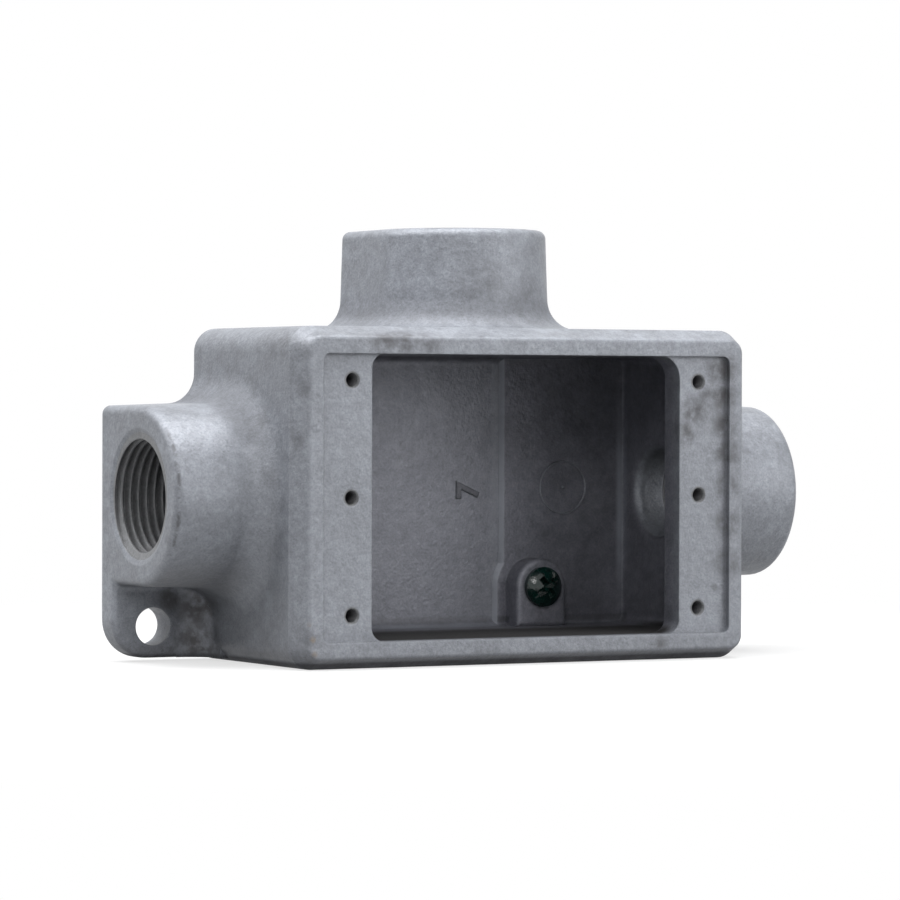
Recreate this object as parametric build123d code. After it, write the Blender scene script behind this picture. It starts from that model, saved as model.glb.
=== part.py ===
from build123d import *
import math
import os

# A cast iron device box with a threaded hub at each end and one on top.
# It lies on its long lower side, with its opening towards -Y.
# X runs along the box, Y from the opening to the mounting back, and Z up.
# The origin is on the screw ledges' face, where the axis of the end hubs crosses
# the middle of the box. Lengths are in millimetres.

# Outside of the box
box_length = 108.0
box_height = 70.0
box_depth = 50.8
corner_radius = 5.0
rim_bevel_width = 2.2
rim_bevel_depth = 5.0
rim_edge_radius = 0.8
back_edge_radius = 1.5

# Rim, screw ledges and the room behind them
rim_height = 1.3
rim_width_at_ends = 5.35
recess_corner_radius = 1.5
long_wall = 5.6
end_wall = 4.0
back_wall = 4.0
room_edge_radius = 2.0
ledge_thickness = 6.0
hole_to_ledge_edge = 4.75
opening_corner_radius = 2.9
opening_wide_corner_radius = 4.7

# Thicker part of the back wall, from the grounding boss to the right, and round the boss
step_height = 1.0
step_slope = 0.9
step_left_of_boss = 7.5
boss_pad_radius = 9.1

# Hubs: round towards the opening, and straight down to the mounting back
hub_radius = 18.6
hub_back_margin = 0.4
hub_draft = 2.0
hub_reach = 21.2
hub_edge_radius = 1.8
hub_root_radius = 6.5

# Pipe thread of each hub, cut to the thread's root, and the smooth throat behind it
pipe_root_radius = 13.1
pipe_thread_length = 18.0
pipe_mouth_radius = 14.2
pipe_mouth_depth = 0.5
throat_radius = 9.0
throat_rounding = 2.5

# Mounting lugs at two opposite corners, flush with the ends of the hubs
lug_thickness = 6.5
lug_corner_radius = 8.0
lug_hole_radius = 4.0
lug_hole_from_end = 9.3
lug_hole_from_bottom = 7.4
lug_bottom_inset = 0.8
lug_web_radius = 7.0
lug_web_overlap = 0.4
lug_hub_radius = 1.5
lug_edge_radius = 1.2

# Tapped holes in the ledges, cut to the thread's root
ledge_hole_radius = 1.75
cover_screw_spacing_x = 83.0
cover_screw_spacing_z = 48.0
device_screw_spacing = 83.34

# Grounding boss in the room, and its screw
boss_radius = 6.2
boss_x = 26.1
boss_above_floor = 8.6
boss_height = 6.2
boss_edge_radius = 1.0
ground_hole_radius = 2.4
ground_hole_depth = 8.0
ground_thread_clearance = 0.05
screw_head_radius = 4.35
screw_head_height = 2.9
screw_head_side = 1.1
screw_length = 6.5
drive_slot_width = 1.1
drive_slot_depth = 1.2
drive_cross_width = 1.5
drive_cross_length = 5.0
drive_cross_depth = 1.9
drive_turn = 35.0

# Places worked out from the sizes above
rim_y = -rim_height
back_y = box_depth - rim_height
room_back_y = back_y - back_wall
bevel_y = rim_y + rim_bevel_depth
hub_axis_from_back = hub_radius + hub_back_margin
hub_y = back_y - hub_axis_from_back
hub_end_x = box_length / 2 + hub_reach
hub_radius_at_wall = hub_radius + hub_reach * math.tan(math.radians(hub_draft))
recess_length = box_length - 2 * rim_width_at_ends
opening_length = device_screw_spacing - 2 * hole_to_ledge_edge
room_length = box_length - 2 * end_wall
room_height = box_height - 2 * long_wall
floor_z = -room_height / 2
boss_y = room_back_y - boss_height
boss_z = floor_z + boss_above_floor
lug_y = back_y - lug_thickness
lug_hole_x = hub_end_x - lug_hole_from_end
lug_hole_z = box_height / 2 - lug_hole_from_bottom

LEFT_WALL = Plane((-box_length / 2, hub_y, 0), x_dir=(0, 0, 1), z_dir=(-1, 0, 0))
RIGHT_WALL = Plane((box_length / 2, hub_y, 0), x_dir=(0, 0, -1), z_dir=(1, 0, 0))
TOP_WALL = Plane((0, hub_y, box_height / 2), x_dir=(1, 0, 0), z_dir=(0, 0, 1))


def prism(sketch, front, back):
    """A sketch drawn in X and Z, stretched from one depth in Y to another."""
    return extrude(Plane.XZ.offset(-front) * sketch, amount=front - back)


def edges_at(shape, axis, value):
    """The edges that lie wholly at one value of X, Y or Z."""
    def lies_there(edge):
        box = edge.bounding_box()
        low, high = getattr(box.min, axis), getattr(box.max, axis)
        return abs(low - value) < 0.01 and abs(high - value) < 0.01
    return shape.edges().filter_by(lies_there)


def outer_block():
    """A rounded block whose rim narrows towards the opening."""
    outline = RectangleRounded(box_length, box_height, corner_radius)
    block = prism(outline, bevel_y, back_y)
    narrowing = math.degrees(math.atan2(rim_bevel_width, rim_bevel_depth))
    front = Plane.XZ.offset(-bevel_y) * outline
    block += extrude(front, amount=rim_bevel_depth, taper=narrowing)
    return fillet(edges_at(block, "Y", rim_y), rim_edge_radius)


def hub(wall_plane):
    """A bar that widens from its end into the wall: half round in front, straight to the back."""
    section = Circle(hub_radius) + Rectangle(
        2 * hub_radius, hub_axis_from_back, align=(Align.CENTER, Align.MIN)
    )
    length = hub_reach + end_wall / 2
    bar = extrude(Pos(0, 0, hub_reach) * section, amount=-length, taper=-hub_draft)
    outer_end = bar.edges().group_by(Axis.Z)[-1].sort_by(Axis.Y)[:-1]
    return wall_plane * fillet(outer_end, hub_edge_radius)


def hub_root_edges(body):
    """Where the hubs leave the box: a straight, a half round and a straight each."""
    half_length, half_height = box_length / 2, box_height / 2
    reach = hub_radius_at_wall + 0.01
    behind_rim = hub_y - reach
    ends = edges_at(body, "X", -half_length) + edges_at(body, "X", half_length)
    ends = ends.filter_by(lambda edge: abs(edge.center().Z) < reach)
    top = edges_at(body, "Z", half_height)
    top = top.filter_by(lambda edge: abs(edge.center().X) < reach)
    return (ends + top).filter_by(lambda edge: edge.center().Y > behind_rim)


def behind_back():
    """A slab behind the mounting back, which trims the hubs flush with it."""
    size = 2 * (box_length + hub_reach)
    return prism(Rectangle(size, size), back_y, back_y + back_wall)


def lug():
    """The lower left lug, a plate from the hub and the box to a round corner and a soft edge."""
    inner_x = -box_length / 2 + corner_radius
    bottom_z = -box_height / 2 + lug_bottom_inset
    plate = Pos(-hub_end_x, bottom_z) * Rectangle(
        inner_x + hub_end_x, -hub_radius / 2 - bottom_z, align=(Align.MIN, Align.MIN)
    )
    outer_corner = plate.vertices().sort_by(Axis.X)[:2].sort_by(Axis.Y)[0]
    plate = prism(fillet(outer_corner, lug_corner_radius), lug_y, back_y)
    front_of_end = edges_at(plate, "X", -hub_end_x).sort_by(Axis.Y)[0]
    return fillet(front_of_end, lug_edge_radius)


def lug_web():
    """A hollow-faced web that carries the lower left lug's front into the end wall."""
    wall_x = -box_length / 2 + lug_web_overlap
    inner_x = -box_length / 2 + corner_radius
    front_y, tip_x = lug_y - lug_web_radius, wall_x - lug_web_radius
    sides = Polyline((tip_x, lug_y), (inner_x, lug_y), (inner_x, front_y), (wall_x, front_y))
    hollow = RadiusArc((wall_x, front_y), (tip_x, lug_y), -lug_web_radius)
    bottom_z = -box_height / 2 + lug_bottom_inset
    outline = Plane.XY.offset(bottom_z) * make_face(sides + hollow)
    return extrude(outline, amount=-hub_radius / 2 - bottom_z)


def opposite(shape):
    """The same thing at the opposite corner, turned about the box's middle."""
    return Rot(0, 180, 0) * shape


def lug_hub_edges(body):
    """Where the lugs' front faces meet the hubs."""
    def beside_hub(edge):
        place = edge.center()
        return abs(place.Z) < hub_radius_at_wall and abs(place.X) < hub_end_x - 0.01
    return edges_at(body, "Y", lug_y).filter_by(beside_hub)


def outside():
    body = outer_block()
    for wall_plane in (LEFT_WALL, RIGHT_WALL, TOP_WALL):
        body += hub(wall_plane)
    body -= behind_back()
    body = fillet(hub_root_edges(body), hub_root_radius)
    whole_lug = lug() + lug_web()
    body += whole_lug
    body += opposite(whole_lug)
    body = fillet(lug_hub_edges(body), lug_hub_radius)
    return fillet(edges_at(body, "Y", back_y), back_edge_radius)


def opening():
    """The hole between the two ledges, with a wider corner at the upper right."""
    outline = Rectangle(opening_length, room_height)
    towards_upper_right = Axis((0, 0, 0), (1, 1, 0))
    narrow = outline.vertices().sort_by(towards_upper_right)[:-1]
    outline = fillet(narrow, opening_corner_radius)
    wide = outline.vertices().sort_by(towards_upper_right)[-1]
    outline = fillet(wide, opening_wide_corner_radius)
    return prism(outline, 0, ledge_thickness)


def room():
    """Everything cut out behind the rim: the recess, the opening and the room."""
    recess = prism(
        RectangleRounded(recess_length, room_height, recess_corner_radius), rim_y, 0
    )
    chamber = prism(
        RectangleRounded(room_length, room_height, room_edge_radius),
        ledge_thickness,
        room_back_y,
    )
    chamber = fillet(edges_at(chamber, "Y", room_back_y), room_edge_radius)
    return recess + opening() + chamber


def raised_panel():
    """The thicker right part of the back wall, with a sloping step that rounds the boss."""
    left_x = boss_x - step_left_of_boss
    face_y = room_back_y - step_height
    outline = Pos(left_x, 0) * Rectangle(
        room_length / 2 - left_x, room_height, align=(Align.MIN, Align.CENTER)
    )
    outline += tombstone(boss_pad_radius)
    panel = prism(outline, face_y, room_back_y)
    step = edges_at(panel, "Y", face_y).filter_by(
        lambda edge: edge.center().X < boss_x - boss_radius and edge.center().Z > floor_z + 0.01
    )
    return chamfer(step, step_slope)


def tombstone(radius):
    """A round top about the boss's middle, with sides that run down to the room's floor."""
    return Pos(boss_x, boss_z) * Circle(radius) + Pos(boss_x, floor_z) * Rectangle(
        2 * radius, boss_z - floor_z, align=(Align.CENTER, Align.MIN)
    )


def ground_boss():
    """A round-topped boss that runs down into the room's floor."""
    boss = prism(tombstone(boss_radius), boss_y, room_back_y)
    return fillet(edges_at(boss, "Y", boss_y), boss_edge_radius)


def hub_bore(wall_plane, wall):
    """Shallow mouth, thread bore and rounded throat of one hub, as one turned cutter."""
    bottom = hub_reach - pipe_thread_length
    flare = throat_radius + throat_rounding
    corners = Polyline(
        (flare, -wall),
        (0, -wall),
        (0, hub_reach),
        (pipe_mouth_radius, hub_reach),
        (pipe_root_radius, hub_reach - pipe_mouth_depth),
        (pipe_root_radius, bottom),
        (throat_radius, bottom),
        (throat_radius, throat_rounding - wall),
    )
    rounding = RadiusArc((throat_radius, throat_rounding - wall), (flare, -wall), -throat_rounding)
    return wall_plane * revolve(Plane.XZ * make_face(corners + rounding), Axis.Z)


def tapped_hole(x, mouth_y, z, radius, depth):
    """A hole that runs back from its mouth."""
    hole = Cylinder(radius, depth, align=(Align.CENTER, Align.CENTER, Align.MIN))
    return Plane((x, mouth_y, z), z_dir=(0, 1, 0)) * hole


def ledge_holes():
    """Four cover screw holes and, between them, the two device screw holes."""
    cover_x, cover_z = cover_screw_spacing_x / 2, cover_screw_spacing_z / 2
    places = [(x, z) for x in (-cover_x, cover_x) for z in (-cover_z, cover_z)]
    places += [(-device_screw_spacing / 2, 0), (device_screw_spacing / 2, 0)]
    return [tapped_hole(x, 0, z, ledge_hole_radius, ledge_thickness) for x, z in places]


def lug_hole():
    return prism(Pos(-lug_hole_x, -lug_hole_z) * Circle(lug_hole_radius), lug_y, back_y)


def box_body():
    """The one-piece casting, with its machined bores and tapped holes."""
    body = outside() - room()
    body += raised_panel()
    body += ground_boss()
    body -= hub_bore(LEFT_WALL, end_wall)
    body -= hub_bore(RIGHT_WALL, end_wall)
    body -= hub_bore(TOP_WALL, long_wall)
    for hole in ledge_holes():
        body -= hole
    body -= tapped_hole(boss_x, boss_y, boss_z, ground_hole_radius, ground_hole_depth)
    body -= lug_hole()
    body -= opposite(lug_hole())
    return body


def ground_screw():
    """A domed head on the boss with a slot and a cross in it, and a plain shank."""
    dome = screw_head_height - screw_head_side
    dome_radius = (screw_head_radius**2 + dome**2) / (2 * dome)
    corners = Polyline(
        (0, screw_head_height),
        (0, 0),
        (screw_head_radius, 0),
        (screw_head_radius, screw_head_side),
    )
    crown = RadiusArc((screw_head_radius, screw_head_side), (0, screw_head_height), -dome_radius)
    screw = revolve(Plane.XZ * make_face(corners + crown), Axis.Z)
    shank_radius = ground_hole_radius - ground_thread_clearance
    screw += Cylinder(
        shank_radius, screw_length, align=(Align.CENTER, Align.CENTER, Align.MAX)
    )
    screw -= drive_recess()
    seat = Plane((boss_x, boss_y, boss_z), x_dir=(1, 0, 0), z_dir=(0, -1, 0))
    return seat * Rot(0, 0, drive_turn) * screw


def drive_recess():
    down = (Align.CENTER, Align.CENTER, Align.MAX)
    slot = Box(2 * screw_head_radius, drive_slot_width, drive_slot_depth, align=down)
    arm = Box(drive_cross_length, drive_cross_width, drive_cross_depth, align=down)
    return Pos(0, 0, screw_head_height) * (slot + arm + Rot(0, 0, 90) * arm)


nodes = {
    "box_body": box_body(),
    "ground_screw": ground_screw(),
}

os.makedirs("parts", exist_ok=True)
for name, shape in nodes.items():
    export_step(shape, f"parts/{name}.step")
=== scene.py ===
"""Dresses a cast iron weatherproof device box, its threads and its ground screw for a picture."""

import math

import bpy
from bpy.props import FloatProperty, FloatVectorProperty, PointerProperty, StringProperty
from mathutils import Matrix, Vector


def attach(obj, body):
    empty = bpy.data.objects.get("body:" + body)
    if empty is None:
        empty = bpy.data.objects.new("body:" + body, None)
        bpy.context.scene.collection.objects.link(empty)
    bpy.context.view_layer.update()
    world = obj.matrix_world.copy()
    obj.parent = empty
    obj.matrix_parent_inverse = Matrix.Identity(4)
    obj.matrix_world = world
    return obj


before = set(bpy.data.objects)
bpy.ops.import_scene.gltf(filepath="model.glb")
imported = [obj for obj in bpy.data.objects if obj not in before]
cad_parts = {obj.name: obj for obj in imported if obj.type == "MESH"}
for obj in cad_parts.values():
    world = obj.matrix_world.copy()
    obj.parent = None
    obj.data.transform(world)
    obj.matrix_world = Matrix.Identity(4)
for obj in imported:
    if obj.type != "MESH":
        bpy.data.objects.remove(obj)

bl_info = {
    "name": "Device Box Dressing",
    "version": (1, 0, 0),
    "blender": (4, 5, 0),
    "location": "3D View > Sidebar > Device Box",
    "description": "Finishes a cast device box and cuts its threads",
    "category": "Object",
}

MM = 0.001
BOX_NODE = "box_body"
SCREW_NODE = "ground_screw"

# Where the threads stand, as mouth centre in millimetres and the turn that takes +Z into the metal.
INTO_RIGHT = (0.0, math.radians(90), 0.0)
INTO_LEFT = (0.0, math.radians(-90), 0.0)
INTO_DOWN = (math.radians(180), 0.0, 0.0)
INTO_BACK = (math.radians(-90), 0.0, 0.0)

HUB_MOUTHS = [
    ((-75.2, 30.5, 0.0), INTO_RIGHT),
    ((75.2, 30.5, 0.0), INTO_LEFT),
    ((0.0, 30.5, 56.2), INTO_DOWN),
]

COVER_HOLES = [((x, 0.0, z), INTO_BACK) for x in (-41.5, 41.5) for z in (-24.0, 24.0)]
DEVICE_HOLES = [((x, 0.0, 0.0), INTO_BACK) for x in (-41.67, 41.67)]

# How finely the threads are cut, and where their closed outside lies, hidden in the metal.
ROWS_PER_TURN = 12
HUB_SIDES = 128
HUB_WALL_RADIUS = 13.6 * MM
HOLE_SIDES = 32
HOLE_WALL_RADIUS = 2.05 * MM

# In millimetres: the room behind the ledges, as half its length and height and as its depth, where
# the back wall's step begins, and the middle of the boss on it.
ROOM_X = 50.5
ROOM_Z = 29.9
ROOM_Y = (2.5, 46.0)
STEP_X = 18.2
BOSS_MIDDLE = (26.1, 45.5, -21.3)

# Half the floor's side, in metres.
FLOOR_REACH = 4.0

# The lamps, which all point at the origin: place and size in metres, and the setting of its power.
LAMPS = [
    ("lamp_top", (0.0, -0.04, 0.63), (0.65, 0.50), "top_power"),
    ("lamp_right", (0.55, -0.75, 0.12), (0.90, 0.90), "side_power"),
    ("lamp_left", (-0.45, 0.25, 0.60), (0.50, 0.50), "fill_power"),
    ("lamp_front", (-0.52, -0.78, 0.42), (0.25, 0.25), "front_power"),
]

# Smudges of handling on the coat, and painted shade along the right ledge beside the rim's step and
# on the lower left lug and its hollow: centre and reach in millimetres, strength from 0 to 1.
SMUDGES_AND_SHADE = [
    ((-34.5, -1.3, 31.6), 4.4, 0.82),
    ((-30.0, -1.3, 32.2), 5.0, 0.82),
    ((-24.0, -1.3, 31.8), 4.6, 0.60),
    ((-12.0, -1.3, 33.6), 1.8, 0.70),
    ((41.0, -1.3, 33.8), 2.0, 0.60),
    ((-5.0, 12.5, 43.0), 9.0, 0.40),
    ((6.0, 12.0, 40.0), 9.0, 0.45),
    ((-54.0, 9.0, 32.0), 9.0, 0.35),
    ((-54.0, 15.0, 15.0), 4.5, 0.45),
    ((-54.0, 10.0, 4.0), 4.0, 0.35),
    ((38.4, 0.0, 13.5), 4.4, 0.78),
    ((40.6, 0.0, 17.6), 4.8, 0.85),
    ((43.6, 0.0, 20.6), 3.8, 0.65),
    # From here to the next note: painted shade at the foot of the rim's step along the right ledge.
    ((47.2, 0.0, 26.5), 5.0, 0.90),
    ((47.6, 0.0, 21.0), 4.8, 0.90),
    ((48.1, 0.0, 15.0), 4.4, 0.85),
    ((48.6, 0.0, 9.0), 4.4, 0.80),
    ((48.8, 0.0, 2.0), 4.4, 0.75),
    ((48.8, 0.0, -6.0), 4.8, 0.70),
    ((48.8, 0.0, -14.5), 4.8, 0.65),
    # Handling smudges again from here.
    ((45.7, 0.0, -19.7), 1.3, 0.45),
    ((31.0, -1.3, -31.5), 3.0, 0.80),
    ((-53.6, -1.3, 30.0), 3.2, 0.60),
    ((-53.8, -0.5, 22.0), 3.4, 0.45),
    ((-54.0, 1.0, 12.0), 3.4, 0.40),
    ((-51.0, -1.3, -28.5), 2.6, 0.50),
    ((-12.0, -1.3, -33.5), 6.0, 0.35),
    # From here to the next note: painted shade on the lower left lug's face and in the hollow
    # joining it to the end wall.
    ((-62.0, 43.0, -22.0), 5.0, 0.90),
    ((-57.0, 40.5, -24.0), 8.0, 1.00),
    ((-57.0, 40.5, -31.0), 8.5, 1.00),
    ((-62.5, 43.0, -33.5), 4.5, 0.80),
    ((-68.0, 43.0, -33.0), 3.5, 0.50),
    # Handling smudges again from here.
    ((-75.2, 16.0, -9.0), 2.0, 0.50),
    ((54.0, 22.0, -30.0), 7.0, 0.35),
    ((20.0, 49.5, 12.0), 12.0, 0.30),
    ((-30.0, 49.5, -14.0), 10.0, 0.30),
]

# Rust spots, given the same way.
RUST_SPOTS = [
    ((-51.0, -1.3, -28.6), 1.0, 0.70),
    ((-51.9, -1.3, -25.6), 0.8, 0.60),
    ((-50.6, -1.3, -31.6), 1.1, 0.55),
    ((48.6, 12.0, 34.6), 1.0, 0.35),
    ((12.0, 47.0, 35.0), 1.3, 0.40),
    ((-40.0, 49.5, 22.0), 1.6, 0.45),
]


class CastingFinish(bpy.types.PropertyGroup):
    """Colours and strengths of the coat on the casting."""

    coat_colour: FloatVectorProperty(
        name="Coat colour", description="Colour of the grey coat", subtype="COLOR",
        size=3, min=0.0, max=1.0, default=(0.284, 0.300, 0.334))
    # Also the colour of the painted shade, and a darker share of it for the room's floor.
    smudge_and_shade_colour: FloatVectorProperty(
        name="Smudge colour", description="Colour the coat turns where it has been handled",
        subtype="COLOR", size=3, min=0.0, max=1.0, default=(0.078, 0.076, 0.080))
    rust_colour: FloatVectorProperty(
        name="Rust colour", description="Colour of the small rust spots", subtype="COLOR",
        size=3, min=0.0, max=1.0, default=(0.230, 0.170, 0.115))
    roughness: FloatProperty(
        name="Roughness", description="Mean roughness of the coat", min=0.0, max=1.0,
        default=0.47, subtype="FACTOR")
    metal: FloatProperty(
        name="Metal", description="Share of metal flake in the coat", min=0.0, max=1.0,
        default=0.28, subtype="FACTOR")
    pebble_height: FloatProperty(
        name="Pebble height", description="Height of the sand texture", min=0.0, max=0.001,
        default=0.00009, subtype="DISTANCE", unit="LENGTH", precision=6)
    speckle: FloatProperty(
        name="Speckle", description="Strength of the dark flecks", min=0.0, max=1.0,
        default=0.42, subtype="FACTOR")
    # Painted shade: how far it reaches from a hollow, and how strong it is in hollows and on
    # undersides.
    painted_shade_reach: FloatProperty(
        name="Grime reach", description="How far from a hollow the grime spreads", min=0.0,
        max=0.05, default=0.012, subtype="DISTANCE", unit="LENGTH", precision=4)
    painted_shade: FloatProperty(
        name="Grime", description="Strength of the grime in hollows and on undersides", min=0.0,
        max=1.0, default=0.54, subtype="FACTOR")
    # Painted shade: how much darker, with a slight tint, the room behind the ledges is painted.
    room_painted_shade: FloatVectorProperty(
        name="Room shade", description="What the thinner coat in the room does to the colour",
        subtype="COLOR", size=3, min=0.0, max=1.0, default=(0.74, 0.71, 0.74))
    edge_softness: FloatProperty(
        name="Edge softness", description="Radius that the light sees on sharp cast edges",
        min=0.0, max=0.005, default=0.0006, subtype="DISTANCE", unit="LENGTH", precision=5)


class ThreadSizes(bpy.types.PropertyGroup):
    """Sizes of the pipe threads in the hubs and the screw threads in the ledges."""

    pipe_pitch: FloatProperty(
        name="Pipe thread pitch", description="Distance from crest to crest in a hub",
        default=1.814 * MM, min=0.0005, max=0.01, subtype="DISTANCE", unit="LENGTH", precision=5)
    pipe_root_radius: FloatProperty(
        name="Pipe root radius", description="Radius at the thread's root at the hub's mouth",
        default=13.08 * MM, min=0.002, max=0.1, subtype="DISTANCE", unit="LENGTH", precision=5)
    pipe_depth: FloatProperty(
        name="Pipe thread depth", description="Radius from root to crest",
        default=1.30 * MM, min=0.0001, max=0.01, subtype="DISTANCE", unit="LENGTH", precision=5)
    pipe_taper: FloatProperty(
        name="Pipe taper", description="Radius lost for each unit of depth",
        default=1 / 32, min=0.0, max=0.2)
    pipe_length: FloatProperty(
        name="Pipe thread length", description="Depth of the thread from the hub's mouth",
        default=17.9 * MM, min=0.002, max=0.1, subtype="DISTANCE", unit="LENGTH", precision=5)
    pipe_mouth_radius: FloatProperty(
        name="Pipe mouth radius", description="Radius of the lead-in cone at the hub's face",
        default=12.30 * MM, min=0.002, max=0.1, subtype="DISTANCE", unit="LENGTH", precision=5)
    pipe_start: FloatProperty(
        name="Pipe thread start", description="Depth of the flat ring in which the thread begins",
        default=0.45 * MM, min=0.0, max=0.01, subtype="DISTANCE", unit="LENGTH", precision=5)
    screw_pitch: FloatProperty(
        name="Screw thread pitch", description="Distance from crest to crest in a ledge hole",
        default=0.794 * MM, min=0.0002, max=0.005, subtype="DISTANCE", unit="LENGTH", precision=5)
    screw_root_radius: FloatProperty(
        name="Screw root radius", description="Radius at the thread's root in a ledge hole",
        default=1.745 * MM, min=0.0005, max=0.01, subtype="DISTANCE", unit="LENGTH", precision=5)
    screw_depth: FloatProperty(
        name="Screw thread depth", description="Radius from root to crest in a ledge hole",
        default=0.34 * MM, min=0.0001, max=0.005, subtype="DISTANCE", unit="LENGTH", precision=5)
    screw_length: FloatProperty(
        name="Screw thread length", description="Depth of the thread in a ledge",
        default=5.9 * MM, min=0.001, max=0.05, subtype="DISTANCE", unit="LENGTH", precision=5)
    screw_mouth_radius: FloatProperty(
        name="Screw mouth radius", description="Radius of the lead-in cone at the ledge's face",
        default=1.42 * MM, min=0.0005, max=0.02, subtype="DISTANCE", unit="LENGTH", precision=5)
    screw_start: FloatProperty(
        name="Screw thread start", description="Depth at which the thread begins in a ledge",
        default=0.03 * MM, min=0.0, max=0.01, subtype="DISTANCE", unit="LENGTH", precision=5)
    # The cut thread's colour: the cut metal's own tone, darkened further as painted shade of the
    # bore.
    cut_and_shade_colour: FloatVectorProperty(
        name="Cut colour", description="Colour of the cut thread", subtype="COLOR",
        size=3, min=0.0, max=1.0, default=(0.230, 0.235, 0.245))


class CastMarks(bpy.types.PropertyGroup):
    """The small raised marks on the back wall."""

    ring_radius: FloatProperty(
        name="Ring radius", description="Radius of the raised ring on the panel",
        default=5.75 * MM, min=0.001, max=0.03, subtype="DISTANCE", unit="LENGTH", precision=5)
    ring_width: FloatProperty(
        name="Ring width", description="Width of the raised ring's bead",
        default=0.45 * MM, min=0.0001, max=0.005, subtype="DISTANCE", unit="LENGTH", precision=5)
    ring_place: FloatVectorProperty(
        name="Ring place", description="Centre of the ring on the raised panel",
        size=3, default=(0.0343, 0.0445, 0.0008), subtype="TRANSLATION", unit="LENGTH", precision=5)
    number: StringProperty(
        name="Number", description="Plain mould number on the back wall", default="7")
    number_size: FloatProperty(
        name="Number size", description="Height of the mould number's letter box",
        default=7.4 * MM, min=0.001, max=0.03, subtype="DISTANCE", unit="LENGTH", precision=5)
    number_place: FloatVectorProperty(
        name="Number place", description="Middle of the mould number on the back wall",
        size=3, default=(0.0110, 0.0455, 0.0002), subtype="TRANSLATION", unit="LENGTH", precision=5)
    number_turn: FloatProperty(
        name="Number turn", description="Turn of the mould number on the wall",
        default=math.radians(90), subtype="ANGLE", unit="ROTATION")
    mark_height: FloatProperty(
        name="Mark height", description="How far the marks stand out of the wall",
        default=0.30 * MM, min=0.0, max=0.002, subtype="DISTANCE", unit="LENGTH", precision=5)


class ScrewFinish(bpy.types.PropertyGroup):
    """Colours of the ground screw."""

    paint_colour: FloatVectorProperty(
        name="Paint colour", description="Colour of the green paint", subtype="COLOR",
        size=3, min=0.0, max=1.0, default=(0.004, 0.030, 0.024))
    recess_colour: FloatVectorProperty(
        name="Recess colour", description="Colour where the paint is thick or dusty",
        subtype="COLOR", size=3, min=0.0, max=1.0, default=(0.003, 0.014, 0.012))
    roughness: FloatProperty(
        name="Roughness", description="Roughness of the paint", min=0.0, max=1.0,
        default=0.11, subtype="FACTOR")


class Studio(bpy.types.PropertyGroup):
    """Floor, lamps and camera."""

    floor_height: FloatProperty(
        name="Floor height", description="Height of the floor", default=-35.0 * MM,
        subtype="DISTANCE", unit="LENGTH", precision=5)
    floor_bounce: FloatProperty(
        name="Floor bounce", description="How much light the floor gives back", min=0.0, max=1.0,
        default=0.14, subtype="FACTOR")
    shadow_share: FloatProperty(
        name="Shadow share", description="How dark the object's shadow shows", min=0.0, max=1.0,
        default=0.35, subtype="FACTOR")
    world_light: FloatProperty(
        name="World light", description="Strength of the light from all round", min=0.0, max=2.0,
        default=0.13)
    top_power: FloatProperty(
        name="Top lamp", description="Power of the soft lamp overhead", default=5.0,
        min=0.0, subtype="POWER", unit="POWER")
    side_power: FloatProperty(
        name="Right lamp", description="Power of the soft lamp in front on the right",
        default=5.35, min=0.0, subtype="POWER", unit="POWER")
    fill_power: FloatProperty(
        name="Left lamp", description="Power of the soft lamp on the left", default=3.4,
        min=0.0, subtype="POWER", unit="POWER")
    front_power: FloatProperty(
        name="Front lamp", description="Power of the weak lamp beside the camera", default=1.6,
        min=0.0, subtype="POWER", unit="POWER")
    camera_place: FloatVectorProperty(
        name="Camera place", description="Where the camera stands", size=3,
        default=(-0.44579, -0.77150, 0.01922), subtype="TRANSLATION", unit="LENGTH", precision=5)
    camera_yaw: FloatProperty(
        name="Camera yaw", description="Turn to the left of straight ahead",
        default=math.radians(-28.965), subtype="ANGLE", unit="ROTATION")
    camera_pitch: FloatProperty(
        name="Camera pitch", description="Tilt above level", default=math.radians(-0.62),
        subtype="ANGLE", unit="ROTATION")
    camera_roll: FloatProperty(
        name="Camera roll", description="Roll about the line of sight",
        default=math.radians(0.16), subtype="ANGLE", unit="ROTATION")
    camera_lens: FloatProperty(
        name="Camera lens", description="Focal length on a 36 mm wide sensor", default=171.36,
        min=10.0, max=500.0)


class Recipe:
    """Adds nodes to a tree and joins them, so that a finish or a shape reads in steps."""

    def __init__(self, tree):
        self.tree = tree
        self.count = 0

    def add(self, kind, **settings):
        node = self.tree.nodes.new(kind)
        node.location = (220 * (self.count % 12), -320 * (self.count // 12))
        self.count += 1
        for name, value in settings.items():
            setattr(node, name, value)
        return node

    def feed(self, socket, value):
        if isinstance(value, bpy.types.NodeSocket):
            self.tree.links.new(value, socket)
        else:
            socket.default_value = value

    def math(self, operation, first, second=0.0, clamp=False):
        node = self.add("ShaderNodeMath", operation=operation, use_clamp=clamp)
        self.feed(node.inputs[0], first)
        self.feed(node.inputs[1], second)
        return node.outputs[0]

    def ramp(self, value, low, high, to_low=0.0, to_high=1.0, smooth=True):
        """Takes a value from low..high to to_low..to_high and holds it there outside."""
        kind = "SMOOTHSTEP" if smooth else "LINEAR"
        node = self.add("ShaderNodeMapRange", interpolation_type=kind)
        for socket, number in zip(node.inputs, (value, low, high, to_low, to_high)):
            self.feed(socket, number)
        return node.outputs[0]

    def product(self, *values):
        total = values[0]
        for value in values[1:]:
            total = self.math("MULTIPLY", total, value)
        return total

    def largest(self, *values):
        top = values[0]
        for value in values[1:]:
            top = self.math("MAXIMUM", top, value)
        return top

    def blend(self, share, first, second, kind="MIX"):
        node = self.add("ShaderNodeMix", data_type="RGBA", blend_type=kind)
        self.feed(node.inputs[0], share)
        self.feed(node.inputs[6], first)
        self.feed(node.inputs[7], second)
        return node.outputs[2]


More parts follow.
